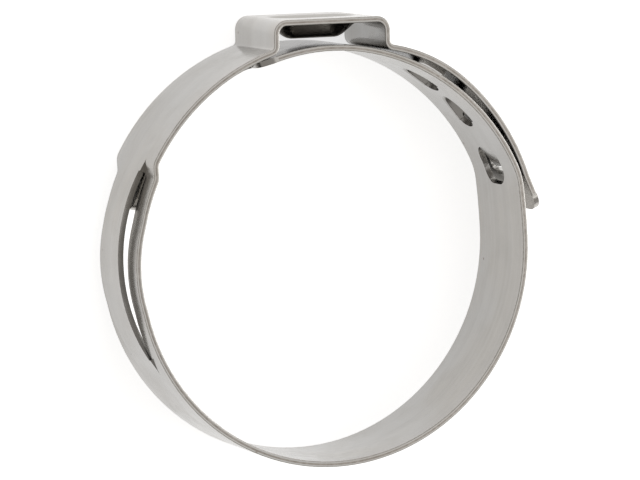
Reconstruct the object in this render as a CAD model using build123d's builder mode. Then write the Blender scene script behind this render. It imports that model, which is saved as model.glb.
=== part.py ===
from build123d import *
import os
from math import asin, cos, degrees, radians, sin, tan

# Stepless one-ear hose clamp, folded from a single stainless strip.
# Frame: Z is the axis of the bore, the strip is centred on Z = 0 and the ear stands on +Y.
# Bearings are degrees clockwise from the ear, looking down -Z; radii are from the bore axis.

# Strip stock
strip_width = 9.0
thickness = 0.5
play = 0.12  # air between two lapped layers

# Ring
bore_radius = 17.7
blend_bend = 8.0  # where two gentle runs meet

# Ear
ear_width = 9.8  # inside, leg to leg
ear_clearance = 1.8  # inside, above the band that passes under it
ear_bend = 0.7  # the two top corners
foot_bend = 0.4

# Dimple pressed into the top of the ear
dimple_rest = 0.8  # top of the ear left flat at each end of the dimple
dimple_width = 4.6
dimple_depth = 1.4
dimple_draft = 50.0
belly_land = 0.0856  # flat left each side of the belly's middle
rim_bend = 0.8

# Outer lap, from the right foot to the tail
lap_lead = 10.489  # from the foot to where the band reaches the lap
lap_ease = 4.87  # how much tighter the band bends there than in the lap
flare_start = 72.0
flare_bend = 4.0
tail_end = 81.5
tail_lift = 0.55  # how far the flared end stands above the lap
tail_round = 1.5

# Inner lap, under the outer one
lap_end = 88.0
crest = 71.0  # the bend where the inner band leans on the outer one
crest_lift = 0.55
crest_bend = 6.0
inner_lap_start = 12.0

# Tongue at the inner end of the strip
shoulder = -22.0
shoulder_round = 1.7
shoulder_bay = 0.7  # inside corner between shoulder and tongue
tongue_width = 4.0
tongue_end = -74.7
tongue_round = 1.3

# Channel over the tongue: the side strips step in, the roof between them stays out
channel_start = -58.0
step_start = -61.5
step_end = -65.0
step_bend = 0.8
hump_start = -78.0
hump_end = -102.0
hump_lift = 0.15
channel_end = -119.5
ring_start = -126.0
roof_width = 4.8
roof_lift = 0.2
roof_top = -95.0
slit_start = -64.3
slit_end = -116.0
slit_width = 0.3

# Drawn hooks, placed by their lips, this far along the inner lap
hook_places = (8.2, 12.8)
hook_length = 3.2
hook_width = 3.0
hook_height = 1.0  # above the inner band
hook_wall = 0.35
hook_entry = 0.3  # soft edge the draw leaves on the bore side
hook_mouth = 0.75  # opening in front of the lip
hook_mouth_width = 2.3
hook_relief = 0.1  # the cut that frees the lip

# Windows of the outer lap
window_length = 2.6
window_width = 3.6
window_round = 0.5
hook_backlash = 0.25  # from the lip to the edge it pulls on

# Guide hook: a tab bent out of a slot of its own
guide_place = 17.6
guide_slot_length = 3.5
guide_slot_width = 3.8
guide_slot_round = 1.3
guide_width = 2.4
guide_length = 2.3
guide_rise = 0.7
guide_wall = 0.5
guide_window_length = 2.6
guide_backlash = 0.35  # from the tab's tip to the end of its window

outer_radius = bore_radius + thickness + play
lap_radius = bore_radius + crest_lift + thickness + play
ear_inside = bore_radius + thickness + ear_clearance
ear_top = ear_inside + thickness
foot = degrees(asin(ear_width / 2 / outer_radius))
lap_start = foot + lap_lead
lap_bend = lap_radius - lap_ease
half_width = strip_width / 2
dimple_length = ear_width - 2 * dimple_rest
slope = radians(dimple_draft)
belly_reach = dimple_width / 2 - dimple_depth * tan(slope)
belly_bend = (belly_reach - belly_land) * tan(radians(45) + slope / 2)
floor_bend = belly_bend - thickness
guide_root = -guide_slot_length / 2
guide_tip = guide_root + guide_length
cut_depth = 2 * thickness  # cutters pass right through one layer


def at(radius, bearing):
    """The point at this radius and bearing."""
    return Vector(radius * sin(radians(bearing)), radius * cos(radians(bearing)))


def along(bearing):
    """The direction round the ring, towards the tail."""
    return Vector(cos(radians(bearing)), -sin(radians(bearing)))


def run(radius, start, end):
    """An arc of the ring."""
    return CenterArc((0, 0), radius, 90 - start, start - end)


def bend(profile, corner, inside, crown):
    """Bends the strip at a corner of its bore side; the inside of a crown faces the bore."""
    bore_side, outer_side = (Vector(v) for v in profile.vertices().sort_by_distance(corner)[:2])
    outside = inside + thickness
    fillet(profile.vertices().sort_by_distance(bore_side)[0], inside if crown else outside)
    fillet(profile.vertices().sort_by_distance(outer_side)[0], outside if crown else inside)


def corners(solid, point):
    """The edges across the strip's thickness at the end face near this point."""
    end_face = solid.faces().sort_by_distance(point)[0]
    return end_face.edges().filter_by(Axis.Z, reverse=True)


# Bore side of the inner lap, which the hooks, their windows and the ring share
with BuildLine() as inner_lap:
    TangentArc(
        at(bore_radius, inner_lap_start),
        at(bore_radius + crest_lift, crest),
        tangent=along(inner_lap_start),
    )


def seat(place):
    """The plane that touches the inner lap this far along it, X to the tail and Z outward."""
    lap = inner_lap.edge()
    towards_tail = lap.tangent_at(place, position_mode=PositionMode.LENGTH)
    return Plane(
        origin=lap.position_at(place, position_mode=PositionMode.LENGTH),
        x_dir=towards_tail,
        z_dir=Vector(0, 0, 1).cross(towards_tail),
    )


def side(place):
    """The plane of the strip's centre line at the same spot, X to the tail and Y outward."""
    return Plane(origin=seat(place).origin, x_dir=seat(place).x_dir, z_dir=(0, 0, 1))


with BuildPart() as outer_band:
    # Tail, lap, ear and the band to its left, drawn along the bore side
    with BuildSketch() as outer_run:
        with BuildLine():
            Line(at(lap_radius + tail_lift, tail_end), at(lap_radius, flare_start))
            run(lap_radius, flare_start, lap_start)
            Polyline(
                at(lap_radius, lap_start),
                at(outer_radius, foot),
                (ear_width / 2, ear_inside),
                (-ear_width / 2, ear_inside),
                at(outer_radius, -foot),
            )
            run(outer_radius, -foot, channel_start)
            offset(amount=thickness, kind=Kind.INTERSECTION, side=Side.RIGHT)
        make_face()
        bend(outer_run, at(lap_radius, flare_start), flare_bend, crown=False)
        bend(outer_run, at(lap_radius, lap_start), lap_bend, crown=True)
        bend(outer_run, at(outer_radius, foot), foot_bend, crown=False)
        bend(outer_run, (ear_width / 2, ear_inside), ear_bend, crown=True)
        bend(outer_run, (-ear_width / 2, ear_inside), ear_bend, crown=True)
        bend(outer_run, at(outer_radius, -foot), foot_bend, crown=False)
    extrude(amount=half_width, both=True)
    tail_tip = at(lap_radius + tail_lift + thickness / 2, tail_end)
    fillet(corners(outer_band, tail_tip), radius=tail_round)

    # Dimple: a drafted belly below the ear, hollowed from above by one wall less
    underside = Plane(origin=(0, ear_inside, 0), x_dir=(1, 0, 0), z_dir=(0, -1, 0))
    rim = thickness / cos(slope) - thickness * tan(slope)
    with BuildSketch(underside):
        SlotOverall(dimple_length, dimple_width)
    extrude(amount=dimple_depth, taper=dimple_draft)
    with BuildSketch(underside.offset(-thickness)):
        SlotOverall(dimple_length - 2 * rim, dimple_width - 2 * rim)
    extrude(amount=dimple_depth, taper=dimple_draft, mode=Mode.SUBTRACT)
    flats = outer_band.faces().filter_by(Axis.Y)
    fillet(flats.sort_by_distance((0, ear_inside - dimple_depth, 0))[0].edges(), belly_bend)
    fillet(flats.sort_by_distance((0, ear_top - dimple_depth, 0))[0].edges(), floor_bend)
    fillet(outer_band.faces().sort_by(Axis.Y)[-1].inner_wires().edges(), rim_bend)

    # Windows for the hooks
    for place in hook_places:
        with BuildSketch(seat(place)):
            with Locations((hook_backlash - window_length / 2, 0)):
                RectangleRounded(window_length, window_width, window_round)
        extrude(amount=hook_height + cut_depth, mode=Mode.SUBTRACT)
    with BuildSketch(seat(guide_place)):
        with Locations((guide_tip + guide_backlash - guide_window_length / 2, 0)):
            RectangleRounded(guide_window_length, window_width, window_round)
    extrude(amount=hook_height + cut_depth, mode=Mode.SUBTRACT)

    # Side strips of the channel: stepped in to the bore, with a low hump half way
    with BuildSketch(Plane.XY.offset(roof_width / 2)) as side_run:
        with BuildLine():
            run(outer_radius, channel_start, step_start)
            Line(at(outer_radius, step_start), at(bore_radius, step_end))
            run(bore_radius, step_end, hump_start)
            ThreePointArc(
                at(bore_radius, hump_start),
                at(bore_radius + hump_lift, (hump_start + hump_end) / 2),
                at(bore_radius, hump_end),
            )
            run(bore_radius, hump_end, ring_start)
            offset(amount=thickness, kind=Kind.INTERSECTION, side=Side.RIGHT)
        make_face()
        bend(side_run, at(outer_radius, step_start), step_bend, crown=True)
        bend(side_run, at(bore_radius, step_end), step_bend, crown=False)
        bend(side_run, at(bore_radius, hump_start), blend_bend, crown=False)
        bend(side_run, at(bore_radius, hump_end), blend_bend, crown=False)
    side_strip = extrude(amount=half_width - roof_width / 2)
    mirror(side_strip, about=Plane.XY)

    # Roof of the channel: out over the tongue, then down to the ring
    with BuildSketch() as roof_run:
        with BuildLine():
            run(outer_radius, channel_start, step_start)
            ThreePointArc(
                at(outer_radius, step_start),
                at(outer_radius + roof_lift, roof_top),
                at(bore_radius, channel_end),
            )
            run(bore_radius, channel_end, ring_start)
            offset(amount=thickness, kind=Kind.INTERSECTION, side=Side.RIGHT)
        make_face()
        bend(roof_run, at(outer_radius, step_start), blend_bend, crown=False)
        bend(roof_run, at(bore_radius, channel_end), blend_bend, crown=False)
    extrude(amount=roof_width / 2, both=True)

    # Slits between the roof and the side strips
    with BuildSketch(Plane.XY.offset(roof_width / 2 - slit_width)):
        with BuildLine():
            run(bore_radius - thickness, slit_start, slit_end)
            Line(at(bore_radius - thickness, slit_end), at(lap_radius + thickness, slit_end))
            run(lap_radius + thickness, slit_end, slit_start)
            Line(at(lap_radius + thickness, slit_start), at(bore_radius - thickness, slit_start))
        make_face()
    slit = extrude(amount=slit_width, mode=Mode.SUBTRACT)
    mirror(slit, about=Plane.XY, mode=Mode.SUBTRACT)

# Outer form and hollow of a drawn hook: X to the tail, Z outward, lip at X = 0 on the band's face
hook_radius = (hook_height**2 + (hook_width / 2) ** 2) / (2 * hook_height)
hook_axis = hook_height - hook_radius
hollow_radius = hook_radius - hook_wall
hollow_length = hook_length - hook_wall
with BuildPart() as hook_form:
    with BuildSketch(Plane.XZ):
        with BuildLine():
            EllipticalCenterArc((0, hook_axis), hook_length, hook_radius, 90, arc_size=90)
            Line((-hook_length, hook_axis), (0, hook_axis))
            Line((0, hook_axis), (0, hook_height))
        make_face()
    revolve(axis=Axis((0, 0, hook_axis), (1, 0, 0)))
    split(bisect_by=Plane.XY.offset(-thickness / 2), keep=Keep.TOP)

with BuildPart() as hook_hollow:
    with BuildSketch(Plane.XZ):
        with BuildLine():
            EllipticalCenterArc((0, hook_axis), hollow_length, hollow_radius, 90, arc_size=90)
            Polyline(
                (-hollow_length, hook_axis),
                (hook_relief, hook_axis),
                (hook_relief, hook_axis + hollow_radius),
                (0, hook_axis + hollow_radius),
            )
        make_face()
    revolve(axis=Axis((0, 0, hook_axis), (1, 0, 0)))
    with BuildSketch(Plane.XY.offset(-cut_depth)):
        Ellipse(hook_mouth, hook_mouth_width / 2)
    extrude(amount=cut_depth + play)

with BuildPart() as inner_band:
    # Ring and inner lap, full width up to the shoulder
    with BuildSketch() as ring_run:
        with BuildLine():
            run(bore_radius, ring_start, lap_end - 360)
            TangentArc(
                at(bore_radius, lap_end),
                at(bore_radius + crest_lift, crest),
                tangent=-along(lap_end),
            )
            add(inner_lap.line)
            run(bore_radius, inner_lap_start, shoulder)
            offset(amount=thickness, kind=Kind.INTERSECTION, side=Side.RIGHT)
        make_face()
        bend(ring_run, at(bore_radius + crest_lift, crest), crest_bend, crown=True)
    extrude(amount=half_width, both=True)

    # Tongue
    with BuildSketch():
        with BuildLine():
            run(bore_radius, shoulder, tongue_end)
            offset(amount=thickness, side=Side.RIGHT)
        make_face()
    extrude(amount=tongue_width / 2, both=True)
    fillet(corners(inner_band, at(bore_radius + thickness / 2, tongue_end)), radius=tongue_round)
    for side_of_tongue in (-1, 1):
        ledge = at(bore_radius + thickness / 2, shoulder)
        ledge.Z = side_of_tongue * (half_width + tongue_width / 2) / 2
        bay = corners(inner_band, ledge).sort_by(lambda edge: abs(edge.center().Z))[0]
        fillet(bay, radius=shoulder_bay)
        corner = corners(inner_band, ledge).sort_by(lambda edge: abs(edge.center().Z))[-1]
        fillet(corner, radius=shoulder_round)

    # Drawn hooks
    with Locations(*[seat(place).offset(thickness) for place in hook_places]):
        add(hook_form.part)
        add(hook_hollow.part, mode=Mode.SUBTRACT)
    for place in hook_places:
        hollow_end = seat(place).from_local_coords((-hollow_length, 0, -thickness))
        fillet(inner_band.edges().sort_by_distance(hollow_end)[0], hook_entry)

    # Guide hook
    with BuildSketch(seat(guide_place).offset(-cut_depth)):
        RectangleRounded(guide_slot_length, guide_slot_width, guide_slot_round)
    extrude(amount=2 * cut_depth, mode=Mode.SUBTRACT)
    with BuildSketch(side(guide_place)):
        with BuildLine():
            Polyline(
                (guide_root - thickness, thickness - guide_wall),
                (guide_root, thickness - guide_wall),
                (guide_tip, thickness - guide_wall + guide_rise),
            )
            offset(amount=guide_wall, side=Side.LEFT)
        make_face()
    extrude(amount=guide_width / 2, both=True)

with BuildPart() as clamp:
    add(outer_band.part)
    add(inner_band.part)

clamp.part.label = "clamp_band"
os.makedirs("parts", exist_ok=True)
export_step(clamp.part, "parts/clamp_band.step")
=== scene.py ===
import math

import bmesh
import bpy
from mathutils import Matrix, Vector
from mathutils.kdtree import KDTree


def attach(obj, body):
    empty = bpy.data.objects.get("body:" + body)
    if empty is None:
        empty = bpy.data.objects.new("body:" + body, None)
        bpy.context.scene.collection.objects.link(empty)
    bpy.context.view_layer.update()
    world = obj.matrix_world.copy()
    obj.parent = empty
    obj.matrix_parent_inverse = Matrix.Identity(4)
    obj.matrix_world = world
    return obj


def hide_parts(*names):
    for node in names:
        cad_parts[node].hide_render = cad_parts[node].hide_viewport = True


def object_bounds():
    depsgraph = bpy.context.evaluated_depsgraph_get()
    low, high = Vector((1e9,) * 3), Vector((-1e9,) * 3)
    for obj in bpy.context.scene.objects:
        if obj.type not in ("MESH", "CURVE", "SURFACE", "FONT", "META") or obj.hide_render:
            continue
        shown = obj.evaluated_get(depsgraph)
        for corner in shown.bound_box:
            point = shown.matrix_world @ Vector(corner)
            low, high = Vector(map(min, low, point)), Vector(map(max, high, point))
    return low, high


MM = 0.001

# The strip's cut edges: a small round, a burnished line and a torn line in the middle.
EDGE_ROUND = 0.07 * MM
BURNISHED_WIDTH = 0.10 * MM

# Where the camera stands, about the middle of the bore.
TURN = math.radians(22.91)
RISE = math.radians(5.60)
ROLL = math.radians(0.42)
LEAN = math.radians(1.67)
DISTANCE = 372.37 * MM
AIM = Vector((0.30, 1.04, 0.0)) * MM
LENS = 241.5  # in millimetres, as the camera takes it
SENSOR_WIDTH = 36.0  # in millimetres too
NEAR_CLIP = 0.01
FAR_CLIP = 20.0

# What the metal sends back, in its several states.
CLEAN_STEEL = (0.450, 0.443, 0.432, 1)
WARM_STEEL = (0.440, 0.422, 0.396, 1)
BANDED_STEEL = (0.385, 0.375, 0.360, 1)
SMUDGED_STEEL = (0.365, 0.350, 0.325, 1)
ROLLED_STEEL = (0.500, 0.492, 0.480, 1)
SPECK = (0.200, 0.160, 0.130, 1)
BURNISHED_EDGE = (0.52, 0.505, 0.48, 1), (0.38, 0.36, 0.335, 1)  # bright and dark
TORN_EDGE = (0.37, 0.345, 0.32, 1), (0.25, 0.228, 0.205, 1)
BURNISHED_ROUGHNESS = 0.34
TORN_ROUGHNESS = 0.45

# How fine each pattern is: features to the metre in x, in y and along the ring's axis.
ROLLING_LINES = (45, 45, 3600)
ROLLING_BANDS = (16, 16, 620)
SMUDGES = (210, 210, 260)
MOTTLE = (1500, 1500, 1900)
WARMTH = (95, 95, 120)
SPECKS = (260, 260, 260)
GRIT = (2600, 2600, 2600)
PATCHES = (420, 420, 420)
ROLLING_DEPTH = 0.003 * MM
GRIT_DEPTH = 0.01 * MM

# The strip's material slots.
SKIN, BURNISHED, TORN = range(3)

# The sockets of a colour mix: its factor, its two colours and its result.
MIX_FACTOR, MIX_FIRST, MIX_SECOND, MIX_RESULT = 0, 6, 7, 2

# What counts as one place, as the same level, as flat, as a rim's edge and as smooth.
ONE_PLACE = 0.0005 * MM
SAME_LEVEL = 0.001 * MM
FACES_AXIS = 0.999
FLAT = math.radians(0.1)
RIM_CORNER = math.radians(60)
SMOOTH = math.radians(20)

# The table and the room.
TABLE_SIDE = 3.0
TABLE_SHADE = (0.72, 0.72, 0.72, 1)
TABLE_SEEN = 0.74
TABLE_MIRRORED = 0.66
ROOM_LIGHT = (1.0, 0.965, 0.92, 1)
ROOM_LEVEL = 0.45
LAMPS = (  # name, place and side in metres, power in watts
    ("lamp_right", (0.62, -0.02, 0.36), 0.60, 2.8),
    ("lamp_over_ear", (0.05, 0.60, 0.35), 0.45, 0.6),
    ("lamp_above", (0.26, -0.08, 0.66), 0.40, 0.30),
)


def place_camera():
    """The camera stands off the ring's axis and looks down into the bore."""
    lean = Matrix.Rotation(-LEAN, 3, "Z")
    bearing = Vector((
        -math.sin(TURN) * math.cos(RISE),
        math.sin(RISE),
        math.cos(TURN) * math.cos(RISE),
    ))
    seat = lean @ (DISTANCE * bearing)
    forward = -seat.normalized()
    right = forward.cross(lean @ Vector((0, 1, 0))).normalized()
    up = right.cross(forward)
    rolled_right = math.cos(ROLL) * right + math.sin(ROLL) * up
    rolled_up = math.cos(ROLL) * up - math.sin(ROLL) * right
    seat = seat + rolled_right * AIM.x + rolled_up * AIM.y
    bpy.ops.object.camera_add(location=seat)
    camera = bpy.context.object
    camera.name = "camera"
    turn = Matrix((rolled_right, rolled_up, -forward)).transposed()
    camera.matrix_world = Matrix.Translation(seat) @ turn.to_4x4()
    camera.data.lens = LENS
    camera.data.sensor_width = SENSOR_WIDTH
    camera.data.clip_start = NEAR_CLIP
    camera.data.clip_end = FAR_CLIP
    bpy.context.scene.camera = camera


class Nodes:
    """A material's node tree, with its nodes added and joined by short calls."""

    def __init__(self, name):
        self.material = bpy.data.materials.new(name)
        self.material.use_nodes = True
        self.tree = self.material.node_tree
        self.surface = self.tree.nodes["Principled BSDF"]

    def add(self, kind, **settings):
        node = self.tree.nodes.new(kind)
        for key, value in settings.items():
            setattr(node, key, value)
        return node

    def join(self, source, target):
        self.tree.links.new(source, target)

    def place(self, scale):
        """Object coordinates, stretched by these scales."""
        where = self.add("ShaderNodeTexCoord")
        mapping = self.add("ShaderNodeMapping")
        mapping.inputs["Scale"].default_value = scale
        self.join(where.outputs["Object"], mapping.inputs["Vector"])
        return mapping.outputs["Vector"]

    def noise(self, scale, detail=3.0, roughness=0.55, distortion=0.0):
        noise = self.add("ShaderNodeTexNoise")
        noise.inputs["Scale"].default_value = 1.0
        noise.inputs["Detail"].default_value = detail
        noise.inputs["Roughness"].default_value = roughness
        noise.inputs["Distortion"].default_value = distortion
        self.join(self.place(scale), noise.inputs["Vector"])
        return noise.outputs["Fac"]

    def ramp(self, value, low, high, to_low, to_high):
        """The value between low and high, carried over to between to_low and to_high."""
        ramp = self.add("ShaderNodeMapRange")
        ramp.inputs["From Min"].default_value = low
        ramp.inputs["From Max"].default_value = high
        ramp.inputs["To Min"].default_value = to_low
        ramp.inputs["To Max"].default_value = to_high
        self.join(value, ramp.inputs["Value"])
        return ramp.outputs["Result"]

    def math(self, operation, first, second):
        node = self.add("ShaderNodeMath", operation=operation)
        for socket, value in zip(node.inputs, (first, second)):
            if isinstance(value, (int, float)):
                socket.default_value = value
            else:
                self.join(value, socket)
        return node.outputs[0]

    def mix(self, factor, first, second):
        node = self.add("ShaderNodeMix", data_type="RGBA")
        for socket, value in ((MIX_FACTOR, factor), (MIX_FIRST, first), (MIX_SECOND, second)):
            if isinstance(value, tuple):
                node.inputs[socket].default_value = value
            else:
                self.join(value, node.inputs[socket])
        return node.outputs[MIX_RESULT]

    def bump(self, height, strength, distance):
        bump = self.add("ShaderNodeBump")
        bump.inputs["Strength"].default_value = strength
        bump.inputs["Distance"].default_value = distance
        self.join(height, bump.inputs["Height"])
        self.join(bump.outputs["Normal"], self.surface.inputs["Normal"])


def rolled_stainless():
    """Bright strip: rolling lines and bands along its length, faint smudges and a few specks."""
    steel = Nodes("rolled_stainless")
    steel.surface.inputs["Metallic"].default_value = 1.0
    lines = steel.noise(ROLLING_LINES, detail=4.0, roughness=0.65)
    bands = steel.noise(ROLLING_BANDS, detail=2.0)
    smudges = steel.noise(SMUDGES, detail=4.0, distortion=0.6)
    mottle = steel.noise(MOTTLE, detail=3.0)
    warm = steel.noise(WARMTH, detail=2.0)
    tint = steel.mix(steel.ramp(warm, 0.40, 0.62, 0.0, 1.0), CLEAN_STEEL, WARM_STEEL)
    tint = steel.mix(steel.ramp(bands, 0.40, 0.65, 0.0, 0.45), tint, BANDED_STEEL)
    tint = steel.mix(steel.ramp(smudges, 0.44, 0.72, 0.0, 0.55), tint, SMUDGED_STEEL)
    tint = steel.mix(steel.ramp(lines, 0.35, 0.70, 0.0, 0.45), tint, ROLLED_STEEL)
    specks = steel.add("ShaderNodeTexVoronoi")
    specks.inputs["Scale"].default_value = 1.0
    steel.join(steel.place(SPECKS), specks.inputs["Vector"])
    tint = steel.mix(steel.ramp(specks.outputs["Distance"], 0.024, 0.040, 0.70, 0.0), tint, SPECK)
    steel.join(tint, steel.surface.inputs["Base Color"])
    dull = steel.math(
        "ADD",
        steel.ramp(smudges, 0.35, 0.70, 0.0, 0.07),
        steel.ramp(lines, 0.35, 0.70, 0.14, 0.20),
    )
    dull = steel.math("ADD", dull, steel.ramp(mottle, 0.3, 0.7, -0.02, 0.03))
    steel.join(dull, steel.surface.inputs["Roughness"])
    relief = steel.math(
        "ADD",
        steel.math("MULTIPLY", lines, 0.7),
        steel.math("MULTIPLY", mottle, 0.3),
    )
    steel.bump(relief, 0.25, ROLLING_DEPTH)
    return steel.material


def cut_edge(name, bright, dark, roughness):
    """An edge left by the slitting knives, gritty and patchy."""
    steel = Nodes(name)
    steel.surface.inputs["Metallic"].default_value = 1.0
    steel.surface.inputs["Roughness"].default_value = roughness
    grit = steel.noise(GRIT, detail=3.0, roughness=0.7)
    patches = steel.noise(PATCHES, detail=2.0)
    tint = steel.mix(steel.ramp(grit, 0.35, 0.65, 0.0, 1.0), bright, dark)
    tint = steel.mix(steel.ramp(patches, 0.45, 0.65, 0.0, 0.4), tint, dark)
    steel.join(tint, steel.surface.inputs["Base Color"])
    steel.bump(grit, 0.5, GRIT_DEPTH)
    return steel.material


def select_only(mesh, parts):
    """Selects these vertices, edges or faces of the mesh in edit mode, and nothing else."""
    for part in (*mesh.faces, *mesh.edges, *mesh.verts):
        part.select_set(False)
    for part in parts:
        part.select_set(True)


def carry_normals(source, target):
    """Gives the untouched faces of the target the smooth normals that the source's corners have."""
    places = KDTree(len(source.vertices))
    for vertex in source.vertices:
        places.insert(vertex.co, vertex.index)
    places.balance()
    corners = {}
    for loop in source.loops:
        corners.setdefault(loop.vertex_index, []).append(source.corner_normals[loop.index].vector)
    normals = [Vector()] * len(target.loops)
    for face in target.polygons:
        if face.material_index != SKIN:
            continue
        for loop in face.loop_indices:
            place = target.vertices[target.loops[loop].vertex_index].co
            reach = places.find(place)[2] + SAME_LEVEL
            near = [
                normal
                for _, vertex, _ in places.find_range(place, reach)
                for normal in corners[vertex]
            ]
            normals[loop] = max(near, key=face.normal.dot)
    target.normals_split_custom_set(normals)


def dress_band(node):
    """The strip with the small rounds and the torn line that slitting leaves along its two rims."""
    bpy.ops.object.select_all(action="DESELECT")
    node.select_set(True)
    bpy.context.view_layer.objects.active = node
    bpy.ops.object.duplicate()
    band = bpy.context.object
    band.name = "strip_clamp"
    band.parent = None
    rim_level = max(vertex.co.z for vertex in band.data.vertices)
    band.data.materials.clear()
    for material in (
        rolled_stainless(),
        cut_edge("burnished_edge", *BURNISHED_EDGE, BURNISHED_ROUGHNESS),
        cut_edge("torn_edge", *TORN_EDGE, TORN_ROUGHNESS),
    ):
        band.data.materials.append(material)

    def on_rim(face):
        off_rim = abs(abs(face.calc_center_median().z) - rim_level)
        return abs(face.normal.z) > FACES_AXIS and off_rim < SAME_LEVEL

    bpy.ops.object.mode_set(mode="EDIT")
    bpy.ops.mesh.select_all(action="SELECT")
    bpy.ops.mesh.remove_doubles(threshold=ONE_PLACE)
    mesh = bmesh.from_edit_mesh(band.data)
    select_only(mesh, [face for face in mesh.faces if on_rim(face)])
    bpy.ops.mesh.dissolve_limited(angle_limit=FLAT)
    mesh = bmesh.from_edit_mesh(band.data)
    rim_edges = {edge for face in mesh.faces if on_rim(face) for edge in face.edges}
    select_only(mesh, [edge for edge in rim_edges if edge.calc_face_angle(0) > RIM_CORNER])
    bpy.ops.mesh.bevel(
        offset=EDGE_ROUND,
        segments=2,
        profile=0.5,
        affect="EDGES",
        clamp_overlap=False,
        material=BURNISHED,
    )
    mesh = bmesh.from_edit_mesh(band.data)
    select_only(mesh, [face for face in mesh.faces if on_rim(face)])
    bpy.ops.mesh.inset(thickness=BURNISHED_WIDTH, use_even_offset=True)
    band.active_material_index = TORN
    bpy.ops.object.material_slot_assign()
    bpy.ops.object.mode_set(mode="OBJECT")
    bpy.ops.object.shade_smooth_by_angle(angle=SMOOTH)
    carry_normals(node.data, band.data)
    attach(band, "root")
    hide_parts("clamp_band")


def lay_floor(level):
    """A table under the ring, white to the camera and in the metal, with the ring's shadow."""
    bpy.ops.mesh.primitive_plane_add(size=TABLE_SIDE, location=(0, 0, level))
    floor = bpy.context.object
    floor.name = "floor"
    paper = Nodes("white_table")
    out = paper.tree.nodes["Material Output"]
    paper.tree.nodes.remove(paper.surface)
    sheet = paper.add("ShaderNodeBsdfDiffuse")
    sheet.inputs["Color"].default_value = TABLE_SHADE
    glow = paper.add("ShaderNodeEmission")
    ray = paper.add("ShaderNodeLightPath")
    glossy, passed = ray.outputs["Is Glossy Ray"], ray.outputs["Is Transmission Ray"]
    mirrored = paper.math("MULTIPLY", paper.math("MAXIMUM", glossy, passed), TABLE_MIRRORED)
    seen = paper.math("MULTIPLY", ray.outputs["Is Camera Ray"], TABLE_SEEN)
    paper.join(paper.math("MAXIMUM", seen, mirrored), glow.inputs["Strength"])
    both = paper.add("ShaderNodeAddShader")
    paper.join(sheet.outputs[0], both.inputs[0])
    paper.join(glow.outputs[0], both.inputs[1])
    paper.join(both.outputs[0], out.inputs["Surface"])
    floor.data.materials.append(paper.material)


def light_room():
    """An even, slightly warm room and three large soft lamps."""
    world = bpy.data.worlds.new("studio")
    bpy.context.scene.world = world
    world.use_nodes = True
    room = world.node_tree.nodes["Background"]
    room.inputs["Color"].default_value = ROOM_LIGHT
    room.inputs["Strength"].default_value = ROOM_LEVEL
    for name, place, side, power in LAMPS:
        bpy.ops.object.light_add(type="AREA", location=place)
        lamp = bpy.context.object
        lamp.name = name
        lamp.data.shape = "SQUARE"
        lamp.data.size = side
        lamp.data.energy = power
        lamp.rotation_euler = (-Vector(place)).to_track_quat("-Z", "Y").to_euler()


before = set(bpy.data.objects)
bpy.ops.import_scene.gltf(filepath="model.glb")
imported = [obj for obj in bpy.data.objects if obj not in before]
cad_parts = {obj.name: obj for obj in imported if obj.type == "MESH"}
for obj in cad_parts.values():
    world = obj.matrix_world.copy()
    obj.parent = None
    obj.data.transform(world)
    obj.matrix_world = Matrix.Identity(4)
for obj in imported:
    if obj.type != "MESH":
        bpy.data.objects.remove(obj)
cad_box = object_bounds()
place_camera()
dress_band(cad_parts["clamp_band"])
lay_floor(cad_box[0].z)
light_room()
bpy.context.scene.view_settings.view_transform = "Standard"
